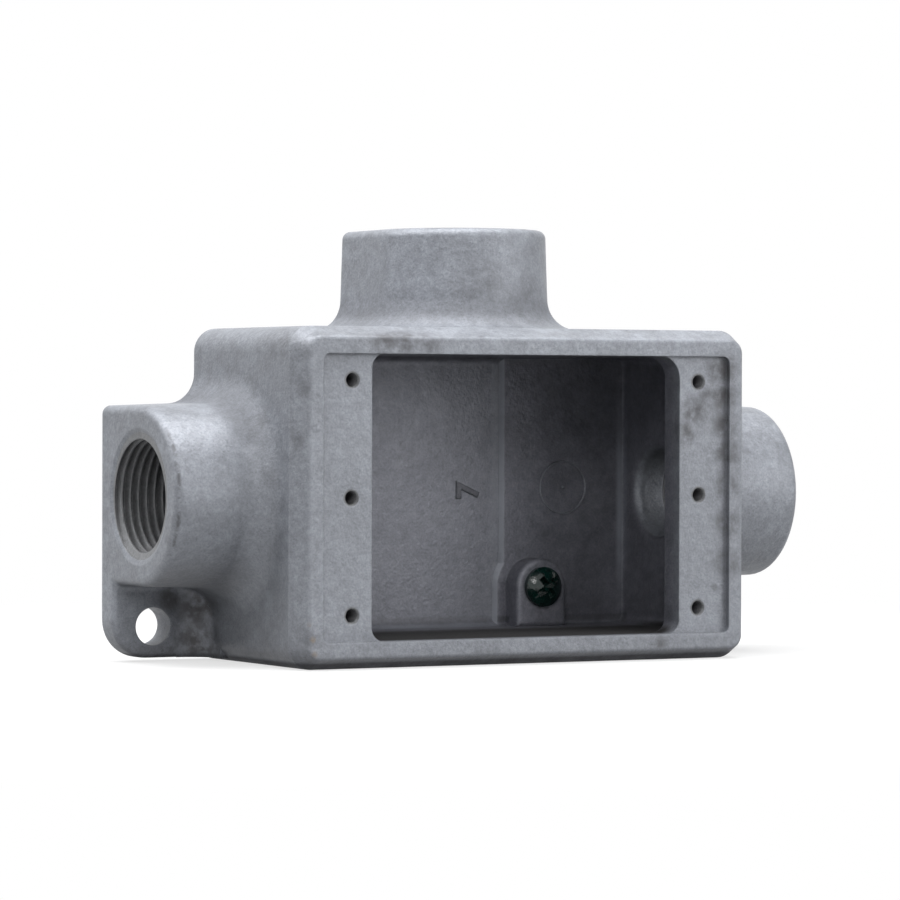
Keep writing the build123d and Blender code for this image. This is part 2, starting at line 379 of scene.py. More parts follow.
class SurfaceRecipe(Recipe):
    """A recipe for a finish on object coordinates, in metres."""

    def __init__(self, material):
        material.use_nodes = True
        super().__init__(material.node_tree)
        self.tree.nodes.clear()
        self.place = self.add("ShaderNodeTexCoord").outputs["Object"]
        self.coat = self.add("ShaderNodeBsdfPrincipled")
        output = self.add("ShaderNodeOutputMaterial")
        self.tree.links.new(self.coat.outputs[0], output.inputs["Surface"])

    def noise(self, feature, detail=3.0, roughness=0.5, shift=0.0):
        """Noise with features of about that size in millimetres, from 0 to 1."""
        node = self.add("ShaderNodeTexNoise", noise_dimensions="4D")
        self.feed(node.inputs["Vector"], self.place)
        self.feed(node.inputs["W"], shift)
        self.feed(node.inputs["Scale"], 1.0 / (feature * MM))
        self.feed(node.inputs["Detail"], detail)
        self.feed(node.inputs["Roughness"], roughness)
        return node.outputs["Fac"]

    def grains(self, feature, shift=0.0):
        """Distance from the middle of the nearest grain, in grain sizes."""
        node = self.add("ShaderNodeTexVoronoi", voronoi_dimensions="4D")
        self.feed(node.inputs["Vector"], self.place)
        self.feed(node.inputs["W"], shift)
        self.feed(node.inputs["Scale"], 1.0 / (feature * MM))
        return node.outputs["Distance"]

    def near(self, centre, reach):
        """1 at a point given in millimetres, falling to 0 at that reach."""
        node = self.add("ShaderNodeVectorMath", operation="DISTANCE")
        self.feed(node.inputs[0], self.place)
        self.feed(node.inputs[1], [c * MM for c in centre])
        return self.ramp(node.outputs["Value"], reach * MM, reach * 0.15 * MM)

    def spots(self, places, breakup):
        """All the spots of a list as one mask, broken up by a noise."""
        mask = 0.0
        for centre, reach, strength in places:
            spot = self.math("MULTIPLY", self.near(centre, reach), strength)
            mask = self.math("MAXIMUM", mask, spot)
        return self.math("MULTIPLY", mask, breakup, clamp=True)

    def hollow(self, reach):
        """1 deep in a hollow, falling to 0 on open faces."""
        node = self.add("ShaderNodeAmbientOcclusion", samples=1)
        self.feed(node.inputs["Distance"], reach)
        return self.ramp(node.outputs["AO"], 0.35, 0.92, 1.0, 0.0, smooth=False)

    def true_normal(self):
        return self.add("ShaderNodeNewGeometry").outputs["Normal"]

    def facing(self, axis, low, high):
        """Goes from 0 to 1 as the normal's part on that axis goes from one value to the other."""
        normal = self.add("ShaderNodeSeparateXYZ")
        self.feed(normal.inputs[0], self.true_normal())
        return self.ramp(normal.outputs[axis], low, high)

    def coordinate(self, axis):
        spot = self.add("ShaderNodeSeparateXYZ")
        self.feed(spot.inputs[0], self.place)
        return spot.outputs[axis]

    def between(self, axis, low, high, soft):
        """1 where that coordinate lies between two values in millimetres, 0 outside."""
        spot = self.coordinate(axis)
        above = self.ramp(spot, (low - soft) * MM, (low + soft) * MM)
        below = self.ramp(spot, (high - soft) * MM, (high + soft) * MM, 1.0, 0.0)
        return self.product(above, below)

    def along(self, axis, low, high, to_low, to_high):
        """Goes from one value to another between two places in millimetres on that axis."""
        return self.ramp(self.coordinate(axis), low * MM, high * MM, to_low, to_high)

    def soft_edge(self, radius):
        """The normal with sharp edges softened to that radius."""
        node = self.add("ShaderNodeBevel", samples=2)
        self.feed(node.inputs["Radius"], radius)
        return node.outputs["Normal"]

    def relief(self, height, distance, normal):
        """That normal bent by a height that goes from 0 to about 1."""
        node = self.add("ShaderNodeBump")
        self.feed(node.inputs["Strength"], 1.0)
        self.feed(node.inputs["Distance"], distance)
        self.feed(node.inputs["Height"], height)
        self.feed(node.inputs["Normal"], normal)
        return node.outputs["Normal"]


def colour(rgb):
    return (*rgb, 1.0)


def darker(rgb, share):
    return colour([c * share for c in rgb])


def room_mask(recipe):
    """1 in the room behind the ledges, 0 on the outside."""
    return recipe.product(
        recipe.between("X", -ROOM_X, ROOM_X, 0.3),
        recipe.between("Z", -ROOM_Z, ROOM_Z, 0.3),
        recipe.between("Y", *ROOM_Y, 2.2))


def painted_highlights(recipe):
    """Painted highlights in the room: on the step and beside it, in a corner, low down."""
    slope = recipe.product(
        recipe.facing("X", -0.2, -0.6), recipe.between("Y", 44.55, 45.45, 0.08), 0.85)
    beside = recipe.largest(
        recipe.between("X", STEP_X - 1.2, STEP_X, 1.2), recipe.near(BOSS_MIDDLE, 14.5))
    beside = recipe.product(beside, recipe.along("Y", 45.40, 45.48, 0.0, 0.45))
    corner = recipe.product(
        recipe.between("X", 48.3, 49.7, 0.7),
        recipe.between("Y", 43.0, 45.2, 0.6),
        recipe.between("Z", -18.0, 16.0, 12.0), 0.75)
    low = recipe.product(
        recipe.between("Z", -29.7, -28.9, 0.4),
        recipe.along("Y", 41.5, 43.5, 0.0, 0.5),
        recipe.along("X", 10.0, 24.0, 1.0, 0.0))
    return recipe.largest(slope, beside, corner, low)


def painted_low_room_shade(recipe, room):
    """Painted shade on the room's floor, most of it at the front, and in the crease low on the back
    wall.
    """
    floor = recipe.product(
        room, recipe.facing("Z", 0.25, 0.90), recipe.along("Y", 26.0, 40.0, 1.0, 0.10))
    crease = recipe.product(
        room, recipe.between("Z", -28.7, -27.3, 0.4), recipe.along("Y", 42.0, 43.5, 0.0, 0.30))
    return recipe.largest(floor, crease)


def hub_roots(recipe):
    """Where the coat is duller and a little darker, at the roots of the top hub and of the left
    hub's upper half.
    """
    top = recipe.product(
        recipe.between("Z", 36.5, 40.5, 2.2), recipe.between("X", -25.0, 27.0, 5.0))
    left = recipe.product(
        recipe.between("X", -60.5, -55.0, 2.0),
        recipe.along("Z", 7.0, 13.0, 0.0, 1.0),
        recipe.along("Z", 24.0, 30.0, 1.0, 0.0))
    return recipe.largest(top, left)


def smudges_and_shade(recipe):
    """The listed smudges and painted shade, faint smudges all over, and the dark line on the left
    hub's front edge.
    """
    breakup = recipe.noise(2.8, detail=3.0, roughness=0.55, shift=6.0)
    breakup = recipe.ramp(breakup, 0.30, 0.60, 0.20, 1.0)
    drift = recipe.noise(9.0, detail=4.0, roughness=0.65, shift=7.0)
    drift = recipe.ramp(drift, 0.58, 0.78, 0.0, 0.34)
    wear = recipe.noise(2.2, detail=5.0, roughness=0.7, shift=12.0)
    wear = recipe.product(
        recipe.ramp(wear, 0.42, 0.62),
        recipe.between("X", -74.7, -74.1, 0.35),
        recipe.along("Y", 14.0, 24.0, 0.8, 0.0),
        recipe.between("Z", -19.0, 14.0, 3.0))
    return recipe.largest(recipe.spots(SMUDGES_AND_SHADE, breakup), recipe.product(drift, breakup), wear)


def painted_shade(recipe, finish, room, hollow):
    """Painted shade in hollows, on undersides and low on the left end, and less of it on the right
    hub.
    """
    hollow_and_underside_shade = recipe.product(
        recipe.largest(hollow, recipe.facing("Z", -0.45, -1.0)),
        recipe.along("X", 52.0, 60.0, 1.0, 0.35),
        recipe.ramp(room, 0.0, 1.0, finish.painted_shade, finish.painted_shade * 0.3))
    # Painted shade: the left end darkens towards its bottom.
    left_end = recipe.product(
        recipe.along("Z", -34.8, -30.5, 0.95, 0.0), recipe.along("X", -53.4, -52.2, 1.0, 0.0))
    return recipe.largest(hollow_and_underside_shade, left_end)


def mottled_grey(recipe, finish, grey, room, blotch, sand):
    """The coat's grey with its clouds, blotches, patches, sand and flecks, and painted shade in the
    room.
    """
    cloud = recipe.noise(22.0, detail=2.0, shift=1.0)
    patch = recipe.noise(1.5, detail=2.0, roughness=0.5, shift=11.0)
    shade = recipe.product(
        recipe.ramp(cloud, 0.3, 0.7, 0.92, 1.07),
        recipe.ramp(blotch, 0.30, 0.70, 0.87, 1.11),
        recipe.ramp(patch, 0.30, 0.70, 0.90, 1.08),
        recipe.ramp(sand, 0.28, 0.72, 0.86, 1.12))
    tone = recipe.blend(1.0, colour(grey), shade, kind="MULTIPLY")
    # Painted shade: the room behind the ledges is painted darker, with a slight tint.
    tone = recipe.blend(room, tone, colour(finish.room_painted_shade), kind="MULTIPLY")
    flecks = recipe.ramp(recipe.noise(0.34, detail=1.0, shift=5.0), 0.60, 0.72)
    flecks = recipe.product(flecks, finish.speckle)
    return recipe.blend(flecks, tone, darker(grey, 0.45))


def coated_iron(finish, name, tint=1.0, base=None):
    """Grey coat over sand cast iron: pebbled, mottled, flecked, stained, and lighter on its edges
    from wear and a painted highlight; it also carries painted shade in hollows, on undersides, low
    down and in the room, and painted highlights in the room.
    """
    material = bpy.data.materials.new(name)
    recipe = SurfaceRecipe(material)
    grey = [c * tint for c in (base or finish.coat_colour)]
    blotch = recipe.noise(3.6, detail=4.0, roughness=0.62, shift=2.0)
    sand = recipe.noise(0.50, detail=3.0, roughness=0.62, shift=3.0)
    room = room_mask(recipe)
    hollow = recipe.hollow(finish.painted_shade_reach)
    low_room_shade = painted_low_room_shade(recipe, room)
    # Painted shade: the lowest band of the casting, next to the floor, is painted darker; it also
    # makes the coat duller.
    foot_shade = recipe.along("Z", -34.0, -32.9, 0.88, 0.0)
    roots = hub_roots(recipe)

    # Painted shade from hollows, undersides, the lowest band and the room's floor, broken up by the
    # blotches.
    painted_shade_mask = recipe.largest(painted_shade(recipe, finish, room, hollow), foot_shade, low_room_shade)
    painted_shade_mask = recipe.product(painted_shade_mask, recipe.ramp(blotch, 0.25, 0.75, 0.75, 1.0))
    # Smudges and painted shade from the list, the painted shade above, and the darker hub roots,
    # all in the smudge colour.
    stains_and_shade = recipe.largest(smudges_and_shade(recipe), painted_shade_mask, recipe.product(roots, 0.30))
    tone = mottled_grey(recipe, finish, grey, room, blotch, sand)
    tone = recipe.blend(stains_and_shade, tone, colour(finish.smudge_and_shade_colour))
    # Painted shade: the room's floor and the crease low on the back wall are painted nearly black.
    tone = recipe.blend(low_room_shade, tone, darker(finish.smudge_and_shade_colour, 0.30))
    rust = recipe.spots(RUST_SPOTS, recipe.ramp(sand, 0.35, 0.6))
    tone = recipe.blend(rust, tone, colour(finish.rust_colour))

    soft_normal = recipe.soft_edge(finish.edge_softness)
    edge_turn = recipe.add("ShaderNodeVectorMath", operation="DOT_PRODUCT")
    recipe.feed(edge_turn.inputs[0], soft_normal)
    recipe.feed(edge_turn.inputs[1], recipe.true_normal())
    # Edge wear and painted highlight: sharp convex edges, where the softened normal turns away, are
    # painted lighter, except in hollows.
    rubbed_and_highlight = recipe.product(
        recipe.ramp(edge_turn.outputs["Value"], 0.998, 0.955, 0.0, 0.75),
        recipe.ramp(blotch, 0.30, 0.6, 0.35, 1.0),
        recipe.math("SUBTRACT", 1.0, hollow))
    # The painted highlights in the room join the edge mask.
    rubbed_and_highlight = recipe.largest(rubbed_and_highlight, recipe.product(painted_highlights(recipe), room))
    tone = recipe.blend(rubbed_and_highlight, tone, colour([min(1.0, c * 1.5) for c in grey]))
    recipe.feed(recipe.coat.inputs["Base Color"], tone)

    gloss = recipe.ramp(blotch, 0.3, 0.7, finish.roughness - 0.07, finish.roughness + 0.07)
    gloss = recipe.math("ADD", gloss, recipe.product(stains_and_shade, 0.12))
    dull = recipe.largest(low_room_shade, foot_shade, recipe.product(roots, 0.6))
    gloss = recipe.math("ADD", gloss, recipe.product(dull, 0.45), clamp=True)
    recipe.feed(recipe.coat.inputs["Roughness"], gloss)
    recipe.feed(recipe.coat.inputs["Metallic"], finish.metal)

    pebbles = recipe.ramp(recipe.grains(1.05, shift=4.0), 0.0, 0.75, 1.0, 0.0)
    height = recipe.product(pebbles, 0.45)
    height = recipe.math("ADD", height, recipe.product(sand, 0.8))
    height = recipe.math("ADD", height, recipe.product(blotch, 0.9))
    pebbly = recipe.relief(height, finish.pebble_height, soft_normal)
    recipe.feed(recipe.coat.inputs["Normal"], pebbly)
    return material


def green_paint(finish):
    """Glossy green paint, thicker and duller in patches spread at random."""
    material = bpy.data.materials.new("green_paint")
    recipe = SurfaceRecipe(material)
    pool = recipe.noise(1.4, detail=3.0, shift=8.0)
    peel = recipe.noise(0.45, detail=2.0, shift=9.0)
    dust = recipe.ramp(recipe.noise(0.22, detail=1.0, shift=10.0), 0.66, 0.78, 0.0, 0.35)
    pooled = recipe.ramp(pool, 0.35, 0.65)
    green = recipe.blend(pooled, colour(finish.paint_colour), colour(finish.recess_colour))
    green = recipe.blend(dust, green, colour((0.16, 0.17, 0.17)))
    recipe.feed(recipe.coat.inputs["Base Color"], green)
    gloss = recipe.ramp(pool, 0.3, 0.7, finish.roughness - 0.03, finish.roughness + 0.08)
    recipe.feed(recipe.coat.inputs["Roughness"], gloss)
    recipe.feed(recipe.coat.inputs["IOR"], 1.55)
    peel = recipe.relief(peel, 0.05 * MM, recipe.soft_edge(0.15 * MM))
    recipe.feed(recipe.coat.inputs["Normal"], peel)
    return material


def tree_input(tree, name, kind, **settings):
    socket = tree.interface.new_socket(name, in_out="INPUT", socket_type=kind)
    for setting, value in settings.items():
        setattr(socket, setting, value)


def stand_at_points(recipe, points, shape, finish):
    """Stands a shape at each point with the point's own turn, and puts the finish on it."""
    standing = recipe.add("GeometryNodeInstanceOnPoints")
    recipe.feed(standing.inputs["Points"], points)
    recipe.feed(standing.inputs["Instance"], shape)
    turn = recipe.add("GeometryNodeInputNamedAttribute", data_type="FLOAT_VECTOR")
    recipe.feed(turn.inputs["Name"], "turn")
    rotation = recipe.add("FunctionNodeEulerToRotation")
    recipe.feed(rotation.inputs[0], turn.outputs["Attribute"])
    recipe.feed(standing.inputs["Rotation"], rotation.outputs[0])
    real = recipe.add("GeometryNodeRealizeInstances")
    recipe.feed(real.inputs[0], standing.outputs[0])
    painted = recipe.add("GeometryNodeSetMaterial")
    recipe.feed(painted.inputs["Geometry"], real.outputs[0])
    recipe.feed(painted.inputs["Material"], finish)
    recipe.feed(recipe.add("NodeGroupOutput").inputs[0], painted.outputs[0])


def thread_tree():
    """Geometry Nodes that cut a tapered, right-hand inside thread at every point of a mesh."""
    tree = bpy.data.node_groups.new("Inside Thread", "GeometryNodeTree")
    tree_input(tree, "Mouths", "NodeSocketGeometry")
    for name in ("Root Radius", "Thread Depth", "Pitch", "Length", "Start",
                 "Mouth Radius", "Taper", "Wall Radius"):
        tree_input(tree, name, "NodeSocketFloat", default_value=0.001)
    tree_input(tree, "Around", "NodeSocketInt", default_value=48)
    tree_input(tree, "Rows", "NodeSocketInt", default_value=60)
    tree_input(tree, "Rows per Turn", "NodeSocketInt", default_value=12)
    tree_input(tree, "Finish", "NodeSocketMaterial")
    tree.interface.new_socket("Threads", in_out="OUTPUT", socket_type="NodeSocketGeometry")

    recipe = Recipe(tree)
    given = recipe.add("NodeGroupInput").outputs
    grid = recipe.add("GeometryNodeMeshGrid")
    recipe.feed(grid.inputs["Size X"], 1.0)
    recipe.feed(grid.inputs["Size Y"], 1.0)
    recipe.feed(grid.inputs["Vertices X"], recipe.math("ADD", given["Around"], 1))
    rows = recipe.math("ADD", given["Rows"], 4)
    recipe.feed(grid.inputs["Vertices Y"], rows)

    spot = recipe.add("ShaderNodeSeparateXYZ")
    recipe.feed(spot.inputs[0], recipe.add("GeometryNodeInputPosition").outputs[0])
    turn = recipe.math("ADD", spot.outputs["X"], 0.5)
    row = recipe.math("ADD", spot.outputs["Y"], 0.5)
    row = recipe.math("ROUND", recipe.product(row, recipe.math("SUBTRACT", rows, 1)))

    step = recipe.math("DIVIDE", given["Pitch"], given["Rows per Turn"])
    lead = recipe.math("MULTIPLY", turn, given["Pitch"])
    depth = recipe.math("MULTIPLY", recipe.math("SUBTRACT", row, 1), step)
    depth = recipe.math("ADD", recipe.math("SUBTRACT", depth, given["Pitch"]), lead)
    depth = recipe.math("ADD", depth, given["Start"])
    depth = recipe.math("MAXIMUM", depth, given["Start"])
    depth = recipe.math("MINIMUM", depth, given["Length"])
    last = recipe.math("GREATER_THAN", row, recipe.math("ADD", given["Rows"], 2.5))
    back = recipe.math("MULTIPLY", last, recipe.math("SUBTRACT", given["Start"], depth))
    depth = recipe.math("ADD", depth, back)

    phase = recipe.math("SUBTRACT", recipe.math("SUBTRACT", depth, given["Start"]), lead)
    phase = recipe.math("FLOORED_MODULO", recipe.math("DIVIDE", phase, given["Pitch"]), 1.0)
    flank = recipe.math("SUBTRACT", recipe.math("MULTIPLY", phase, 2.0), 1.0)
    flank = recipe.math("ABSOLUTE", flank)
    flank = recipe.ramp(flank, 1 / 6, 5 / 6, 0.0, 1.0, smooth=False)
    crest = recipe.math("MULTIPLY", recipe.math("SUBTRACT", 1.0, flank), given["Thread Depth"])
    narrowing = recipe.math("MULTIPLY", depth, given["Taper"])
    radius = recipe.math("SUBTRACT", given["Root Radius"], narrowing)
    radius = recipe.math("SUBTRACT", radius, crest)
    radius = recipe.math("MAXIMUM", radius, recipe.math("SUBTRACT", given["Mouth Radius"], depth))
    first = recipe.math("LESS_THAN", row, 0.5)
    outer = recipe.math("GREATER_THAN", row, recipe.math("ADD", given["Rows"], 1.5))
    outer = recipe.math("MAXIMUM", first, outer)
    radius = recipe.math("ADD", radius, recipe.math(
        "MULTIPLY", outer, recipe.math("SUBTRACT", given["Wall Radius"], radius)))

    angle = recipe.math("MULTIPLY", turn, 2 * math.pi)
    bent = recipe.add("ShaderNodeCombineXYZ")
    recipe.feed(bent.inputs["X"], recipe.math("MULTIPLY", recipe.math("COSINE", angle), radius))
    recipe.feed(bent.inputs["Y"], recipe.math("MULTIPLY", recipe.math("SINE", angle), radius))
    recipe.feed(bent.inputs["Z"], depth)
    placed = recipe.add("GeometryNodeSetPosition")
    recipe.feed(placed.inputs["Geometry"], grid.outputs["Mesh"])
    recipe.feed(placed.inputs["Position"], bent.outputs[0])
    welded = recipe.add("GeometryNodeMergeByDistance")
    recipe.feed(welded.inputs["Geometry"], placed.outputs[0])
    recipe.feed(welded.inputs["Distance"], 2e-6)

    stand_at_points(recipe, given["Mouths"], welded.outputs[0], given["Finish"])
    return tree


def rows_for(length, pitch):
    """How many rows of vertices reach from a turn above the mouth to a thread's end."""
    return math.ceil((length + pitch) / pitch * ROWS_PER_TURN)


def mouths_mesh(name, mouths):
    """A mesh of one point for each mouth, which carries the mouth's turn."""
    mesh = bpy.data.meshes.new(name)
    mesh.from_pydata([[c * MM for c in centre] for centre, _ in mouths], [], [])
    turns = mesh.attributes.new("turn", "FLOAT_VECTOR", "POINT")
    turns.data.foreach_set("vector", [angle for _, turn in mouths for angle in turn])
    return mesh


def grow(name, mesh, tree, values):
    """Runs a Geometry Nodes tree once on a mesh and returns a plain object with the result."""
    seed = bpy.data.objects.new(name + "_seed", mesh)
    bpy.context.scene.collection.objects.link(seed)
    modifier = seed.modifiers.new("Shape", "NODES")
    modifier.node_group = tree
    for item in tree.interface.items_tree:
        if item.item_type == "SOCKET" and item.in_out == "INPUT" and item.name in values:
            modifier[item.identifier] = values[item.name]
    graph = bpy.context.evaluated_depsgraph_get()
    shape = bpy.data.meshes.new_from_object(seed.evaluated_get(graph), depsgraph=graph)
    seed.modifiers.remove(modifier)
    bpy.data.objects.remove(seed)
    return add_piece(name, shape)


def add_piece(name, mesh):
    mesh.name = name
    piece = bpy.data.objects.new(name, mesh)
    bpy.context.scene.collection.objects.link(piece)
    return piece


def face_outwards(mesh):
    """Turns a closed mesh's faces so that they point out of its metal."""
    volume = sum(face.center.dot(face.normal) * face.area for face in mesh.polygons)
    if volume < 0:
        mesh.flip_normals()


def smooth_by_angle(mesh, degrees):
    mesh.shade_smooth()
    mesh.set_sharp_from_angle(angle=math.radians(degrees))


class DEVICEBOX_OT_casting(bpy.types.Operator):
    """Coat the casting"""

    bl_idname = "devicebox.casting"
    bl_label = "Coat Casting"

    def execute(self, context):
        finish = context.scene.devicebox_casting
        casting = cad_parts[BOX_NODE]
        coat = coated_iron(finish, "coated_iron")
        for slot in casting.material_slots:
            slot.material = coat
        return {"FINISHED"}


class DEVICEBOX_OT_ground_screw(bpy.types.Operator):
    """Paint the ground screw"""

    bl_idname = "devicebox.ground_screw"
    bl_label = "Paint Ground Screw"

    def execute(self, context):
        paint = green_paint(context.scene.devicebox_screw)
        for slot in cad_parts[SCREW_NODE].material_slots:
            slot.material = paint
        return {"FINISHED"}


class DEVICEBOX_OT_hub_threads(bpy.types.Operator):
    """Cut the tapered pipe threads in the hubs"""

    bl_idname = "devicebox.hub_threads"
    bl_label = "Cut Hub Threads"

    def execute(self, context):
        sizes = context.scene.devicebox_threads
        finish = context.scene.devicebox_casting
        cut = coated_iron(finish, "cut_pipe_thread", base=sizes.cut_and_shade_colour)
        piece = grow("hub_threads", mouths_mesh("hub_mouths", HUB_MOUTHS), thread_tree(), {
            "Root Radius": sizes.pipe_root_radius,
            "Thread Depth": sizes.pipe_depth,
            "Pitch": sizes.pipe_pitch,
            "Length": sizes.pipe_length,
            "Start": sizes.pipe_start,
            "Mouth Radius": sizes.pipe_mouth_radius,
            "Taper": sizes.pipe_taper,
            "Wall Radius": HUB_WALL_RADIUS,
            "Around": HUB_SIDES,
            "Rows": rows_for(sizes.pipe_length, sizes.pipe_pitch),
            "Rows per Turn": ROWS_PER_TURN,
            "Finish": cut,
        })
        face_outwards(piece.data)
        smooth_by_angle(piece.data, 30)
        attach(piece, "root")
        return {"FINISHED"}


class DEVICEBOX_OT_screw_threads(bpy.types.Operator):
    """Cut the threads in the ledges' screw holes"""

    bl_idname = "devicebox.screw_threads"
    bl_label = "Cut Ledge Hole Threads"

    def execute(self, context):
        sizes = context.scene.devicebox_threads
        finish = context.scene.devicebox_casting
        cut = coated_iron(finish, "cut_screw_thread", base=sizes.cut_and_shade_colour)
        mouths = mouths_mesh("ledge_mouths", COVER_HOLES + DEVICE_HOLES)
        piece = grow("ledge_hole_threads", mouths, thread_tree(), {
            "Root Radius": sizes.screw_root_radius,
            "Thread Depth": sizes.screw_depth,
            "Pitch": sizes.screw_pitch,
            "Length": sizes.screw_length,
            "Start": sizes.screw_start,
            "Mouth Radius": sizes.screw_mouth_radius,
            "Taper": 0.0,
            "Wall Radius": HOLE_WALL_RADIUS,
            "Around": HOLE_SIDES,
            "Rows": rows_for(sizes.screw_length, sizes.screw_pitch),
            "Rows per Turn": ROWS_PER_TURN,
            "Finish": cut,
        })
        face_outwards(piece.data)
        smooth_by_angle(piece.data, 30)
        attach(piece, "root")
        return {"FINISHED"}


def ring_tree():
    """Geometry Nodes that lay a half-round bead along a circle, with a small dome in its middle."""
    tree = bpy.data.node_groups.new("Cast Ring", "GeometryNodeTree")
    tree_input(tree, "Wall", "NodeSocketGeometry")
    for name in ("Radius", "Width", "Height"):
        tree_input(tree, name, "NodeSocketFloat", default_value=0.001)
    tree_input(tree, "Finish", "NodeSocketMaterial")
    tree.interface.new_socket("Ring", in_out="OUTPUT", socket_type="NodeSocketGeometry")

    recipe = Recipe(tree)
    given = recipe.add("NodeGroupInput").outputs
    circle = recipe.add("GeometryNodeCurvePrimitiveCircle")
    recipe.feed(circle.inputs["Resolution"], 96)
    recipe.feed(circle.inputs["Radius"], given["Radius"])
    bead = recipe.add("GeometryNodeCurvePrimitiveCircle")
    recipe.feed(bead.inputs["Resolution"], 16)
    half = recipe.math("MULTIPLY", given["Width"], 0.5)
    recipe.feed(bead.inputs["Radius"], half)
    ring = recipe.add("GeometryNodeCurveToMesh")
    recipe.feed(ring.inputs["Curve"], circle.outputs["Curve"])
    recipe.feed(ring.inputs["Profile Curve"], bead.outputs["Curve"])
    dot = recipe.add("GeometryNodeMeshUVSphere")
    recipe.feed(dot.inputs["Segments"], 20)
    recipe.feed(dot.inputs["Rings"], 12)
    recipe.feed(dot.inputs["Radius"], recipe.math("MULTIPLY", half, 1.6))
    both = recipe.add("GeometryNodeJoinGeometry")
    for part in (ring.outputs["Mesh"], dot.outputs["Mesh"]):
        tree.links.new(part, both.inputs[0])
    flat = recipe.add("GeometryNodeTransform")
    scale = recipe.add("ShaderNodeCombineXYZ")
    recipe.feed(scale.inputs["X"], 1.0)
    recipe.feed(scale.inputs["Y"], 1.0)
    recipe.feed(scale.inputs["Z"], recipe.math("DIVIDE", given["Height"], half))
    recipe.feed(flat.inputs["Geometry"], both.outputs[0])
    recipe.feed(flat.inputs["Scale"], scale.outputs[0])
    stand_at_points(recipe, given["Wall"], flat.outputs[0], given["Finish"])
    return tree


class DEVICEBOX_OT_ring_mark(bpy.types.Operator):
    """Raise the ring and its dot on the back wall's panel"""

    bl_idname = "devicebox.ring_mark"
    bl_label = "Raise Ring Mark"

    def execute(self, context):
        marks = context.scene.devicebox_marks
        place = [c / MM for c in marks.ring_place]
        wall = mouths_mesh("ring_place", [(place, INTO_BACK)])
        coat = coated_iron(context.scene.devicebox_casting, "ring_mark_coat")
        piece = grow("ring_mark", wall, ring_tree(), {
            "Radius": marks.ring_radius,
            "Width": marks.ring_width,
            "Height": marks.mark_height,
            "Finish": coat,
        })
        face_outwards(piece.data)
        smooth_by_angle(piece.data, 40)
        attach(piece, "root")
        return {"FINISHED"}


class DEVICEBOX_OT_mould_number(bpy.types.Operator):
    """Raise the plain mould number on the back wall"""

    bl_idname = "devicebox.mould_number"
    bl_label = "Raise Mould Number"

    def execute(self, context):
        marks = context.scene.devicebox_marks
        letters = bpy.data.curves.new("mould_number_outline", "FONT")
        letters.body = marks.number
        letters.size = marks.number_size
        letters.align_x = "CENTER"
        letters.align_y = "CENTER"
        letters.extrude = marks.mark_height
        letters.bevel_depth = marks.mark_height * 0.4
        letters.offset = marks.number_size * 0.02
        letters.bevel_resolution = 2
        outline = bpy.data.objects.new("mould_number_outline", letters)
        context.scene.collection.objects.link(outline)
        graph = context.evaluated_depsgraph_get()
        mesh = bpy.data.meshes.new_from_object(outline.evaluated_get(graph), depsgraph=graph)
        bpy.data.objects.remove(outline)
        on_wall = Matrix.Rotation(math.radians(90), 4, "X")
        turned = Matrix.Rotation(marks.number_turn, 4, "Z")
        mesh.transform(Matrix.Translation(marks.number_place) @ on_wall @ turned)
        mesh.materials.clear()
        finish = context.scene.devicebox_casting
        mesh.materials.append(coated_iron(finish, "mould_number_coat", tint=0.5))
        piece = add_piece("mould_number", mesh)
        smooth_by_angle(mesh, 40)
        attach(piece, "root")
        return {"FINISHED"}


def seen_white(recipe, shaded, white):
    """Shows the white shader to the eye, mirrors and glass, and the other one to the light."""
    rays = recipe.add("ShaderNodeLightPath").outputs
    seen = recipe.math("MAXIMUM", rays["Is Camera Ray"], rays["Is Glossy Ray"])
    seen = recipe.math("MAXIMUM", seen, rays["Is Transmission Ray"])
    mix = recipe.add("ShaderNodeMixShader")
    recipe.feed(mix.inputs[0], seen)
    recipe.tree.links.new(shaded, mix.inputs[1])
    recipe.tree.links.new(white, mix.inputs[2])
    return mix.outputs[0]


def pale_floor(studio):
    """White to the eye with the object's soft shadow on it, and a plain mid tone to the light."""
    material = bpy.data.materials.new("pale_floor")
    material.use_nodes = True
    recipe = Recipe(material.node_tree)
    recipe.tree.nodes.clear()
    bounce = recipe.add("ShaderNodeBsdfDiffuse")
    recipe.feed(bounce.inputs["Color"], colour([studio.floor_bounce] * 3))
    shade = recipe.add("ShaderNodeBsdfDiffuse")
    recipe.feed(shade.inputs["Color"], colour([studio.shadow_share] * 3))
    glow = recipe.add("ShaderNodeEmission")
    recipe.feed(glow.inputs["Color"], colour([1.0 - studio.shadow_share * 0.9] * 3))
    lit = recipe.add("ShaderNodeAddShader")
    recipe.tree.links.new(shade.outputs[0], lit.inputs[0])
    recipe.tree.links.new(glow.outputs[0], lit.inputs[1])
    plain = recipe.add("ShaderNodeEmission")
    reach = recipe.add("ShaderNodeVectorMath", operation="LENGTH")
    recipe.feed(reach.inputs[0], recipe.add("ShaderNodeTexCoord").outputs["Object"])
    fade = recipe.add("ShaderNodeMixShader")
    recipe.feed(fade.inputs[0], recipe.ramp(reach.outputs["Value"], 0.12, 0.30))
    recipe.tree.links.new(lit.outputs[0], fade.inputs[1])
    recipe.tree.links.new(plain.outputs[0], fade.inputs[2])
    surface = seen_white(recipe, bounce.outputs[0], fade.outputs[0])
    output = recipe.add("ShaderNodeOutputMaterial")
    recipe.tree.links.new(surface, output.inputs["Surface"])
    return material


